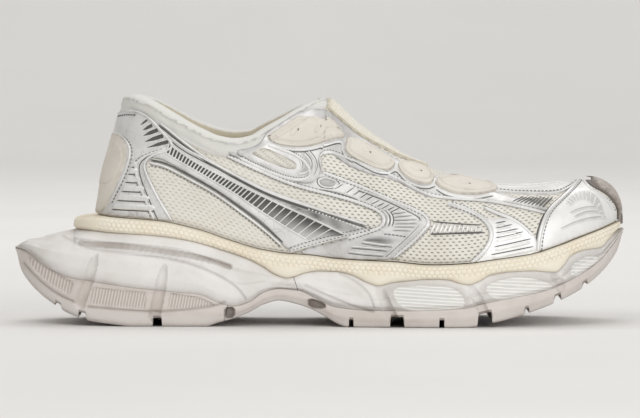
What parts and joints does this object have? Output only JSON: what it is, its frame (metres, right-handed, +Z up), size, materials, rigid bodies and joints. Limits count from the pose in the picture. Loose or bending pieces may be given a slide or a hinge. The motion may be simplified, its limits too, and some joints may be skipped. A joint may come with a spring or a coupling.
{
  "type": "slip-on sneaker",
  "caption": "Chunky slip-on running sneaker, right foot, aged silver overlays on cream mesh over a sculpted multi-part sole.",
  "frame": {"origin": "middle of the object's box on the floor that the shoe stands on", "axes": "+X towards the toe, +Z up, -Y towards the outer (lateral) side of the foot"},
  "size_m": [0.337, 0.1194, 0.1252],
  "materials": {
    "outsole_rubber": "matte pinkish grey rubber",
    "midsole_foam": "smooth white foam with a fine skin",
    "rim_foam": "cream foam with a fine six-sided relief",
    "lining": "soft cream lining cloth",
    "knit_mesh": "open off-white mesh",
    "stretch_knit": "cream stretch knit",
    "silver_film": "worn silver film, half gloss",
    "moulded_beige": "soft moulded warm beige",
    "bumper_rubber": "grained grey rubber"
  },
  "bodies": {
    "root": {"heel_outsole": "outsole_rubber", "forefoot_outsole": "outsole_rubber", "heel_midsole": "midsole_foam", "forefoot_midsole": "midsole_foam", "rim": "rim_foam", "insole": "lining", "upper": "knit_mesh", "stretch_strip": "stretch_knit", "heel_counter": "silver_film", "heel_patch": "moulded_beige", "vamp_band": "silver_film", "toe_cap": "silver_film", "toe_bumper": "bumper_rubber", "side_stripe_outer": "silver_film", "side_panel_outer": "silver_film", "forefoot_panel_outer": "silver_film", "eyestay_outer": "silver_film", "eyestay_pod_1_outer": "moulded_beige", "eyestay_pod_2_outer": "moulded_beige", "eyestay_pod_3_outer": "moulded_beige", "eyestay_pod_4_outer": "moulded_beige", "side_stripe_inner": "silver_film", "side_panel_inner": "silver_film", "forefoot_panel_inner": "silver_film", "eyestay_inner": "silver_film", "eyestay_pod_1_inner": "moulded_beige", "eyestay_pod_2_inner": "moulded_beige", "eyestay_pod_3_inner": "moulded_beige", "eyestay_pod_4_inner": "moulded_beige"}
  },
  "joints": []
}
